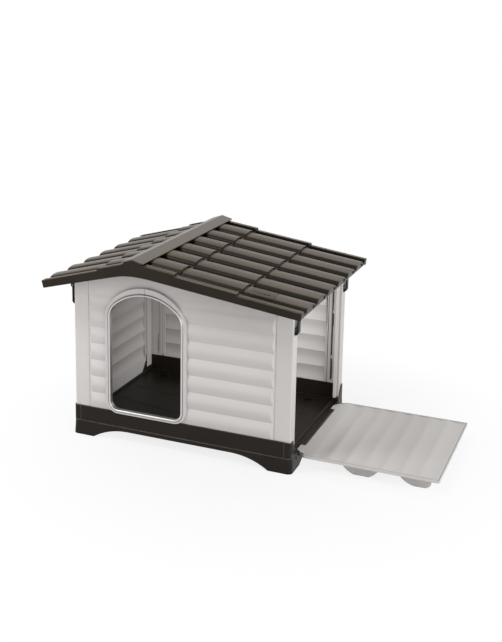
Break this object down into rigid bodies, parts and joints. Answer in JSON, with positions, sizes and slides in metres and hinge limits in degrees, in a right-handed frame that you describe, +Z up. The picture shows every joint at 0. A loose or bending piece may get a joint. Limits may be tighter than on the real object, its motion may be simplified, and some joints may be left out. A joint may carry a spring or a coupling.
{
  "type": "dog kennel",
  "caption": "Plastic dog kennel on a footed base, with a tiled gable roof, boarded walls, an arched doorway and a fold-down side panel.",
  "frame": {"origin": "bottom centre of the box around the whole part with the side panel open, on the floor", "axes": "+X from the closed left wall to the open side panel, +Y from the doorway wall to the back wall, +Z up"},
  "size_m": [1.286, 0.72, 0.65],
  "materials": {
    "wall_plastic": "fine moulded satin",
    "roof_plastic": "fine moulded satin with a soft sheen",
    "ridge_plastic": "fine moulded satin",
    "base_plastic": "fine moulded matte",
    "clip_plastic": "smooth",
    "trim_metal": "bright rolled",
    "pin_metal": "plain"
  },
  "bodies": {
    "kennel": {"base": "base_plastic", "front_wall": "wall_plastic", "back_wall": "wall_plastic", "left_wall": "wall_plastic", "door_trim": "trim_metal", "threshold_bar": "base_plastic", "hinge_pin_front": "base_plastic", "hinge_pin_back": "base_plastic", "roof_left": "roof_plastic", "roof_right": "roof_plastic", "ridge_cap": "ridge_plastic", "vent_grille": "roof_plastic", "post_front_left": "wall_plastic", "clip_pin_front_left": "pin_metal", "post_front_right": "wall_plastic", "clip_pin_front_right": "pin_metal", "post_back_left": "wall_plastic", "clip_pin_back_left": "pin_metal", "post_back_right": "wall_plastic", "clip_pin_back_right": "pin_metal"},
    "side_panel": {"side_panel": "wall_plastic"},
    "clip_front_left": {"clip_front_left": "clip_plastic"},
    "clip_front_right": {"clip_front_right": "clip_plastic"},
    "clip_back_left": {"clip_back_left": "clip_plastic"},
    "clip_back_right": {"clip_back_right": "clip_plastic"},
    "vent_shutter": {"vent_shutter": "clip_plastic"},
    "drain_plug_left": {"drain_plug_left": "base_plastic"},
    "drain_plug_right": {"drain_plug_right": "base_plastic"}
  },
  "joints": [
    {"name": "side_panel_hinge", "type": "hinge", "parent": "kennel", "child": "side_panel", "pos_m": [0.19, 0, 0.042], "axis": [0, -1, 0], "range_deg": [0, 90]},
    {"name": "clip_front_left_pivot", "type": "hinge", "parent": "kennel", "child": "clip_front_left", "pos_m": [-0.578, -0.258, 0.512], "axis": [0, 1, 0], "range_deg": [0, 60]},
    {"name": "clip_front_right_pivot", "type": "hinge", "parent": "kennel", "child": "clip_front_right", "pos_m": [0.198, -0.258, 0.512], "axis": [0, -1, 0], "range_deg": [0, 60]},
    {"name": "clip_back_left_pivot", "type": "hinge", "parent": "kennel", "child": "clip_back_left", "pos_m": [-0.578, 0.258, 0.512], "axis": [0, 1, 0], "range_deg": [0, 60]},
    {"name": "clip_back_right_pivot", "type": "hinge", "parent": "kennel", "child": "clip_back_right", "pos_m": [0.198, 0.258, 0.512], "axis": [0, -1, 0], "range_deg": [0, 60]},
    {"name": "vent_shutter_turn", "type": "hinge", "parent": "kennel", "child": "vent_shutter", "pos_m": [0.08972, -0.29428, 0.55258], "axis": [-0.991, 0, 0.1339], "range_deg": [0, 24]},
    {"name": "drain_plug_left_lift", "type": "slide", "parent": "kennel", "child": "drain_plug_left", "axis": [0, 0, 1], "range_m": [0, 0.02]},
    {"name": "drain_plug_right_lift", "type": "slide", "parent": "kennel", "child": "drain_plug_right", "axis": [0, 0, 1], "range_m": [0, 0.02]}
  ]
}
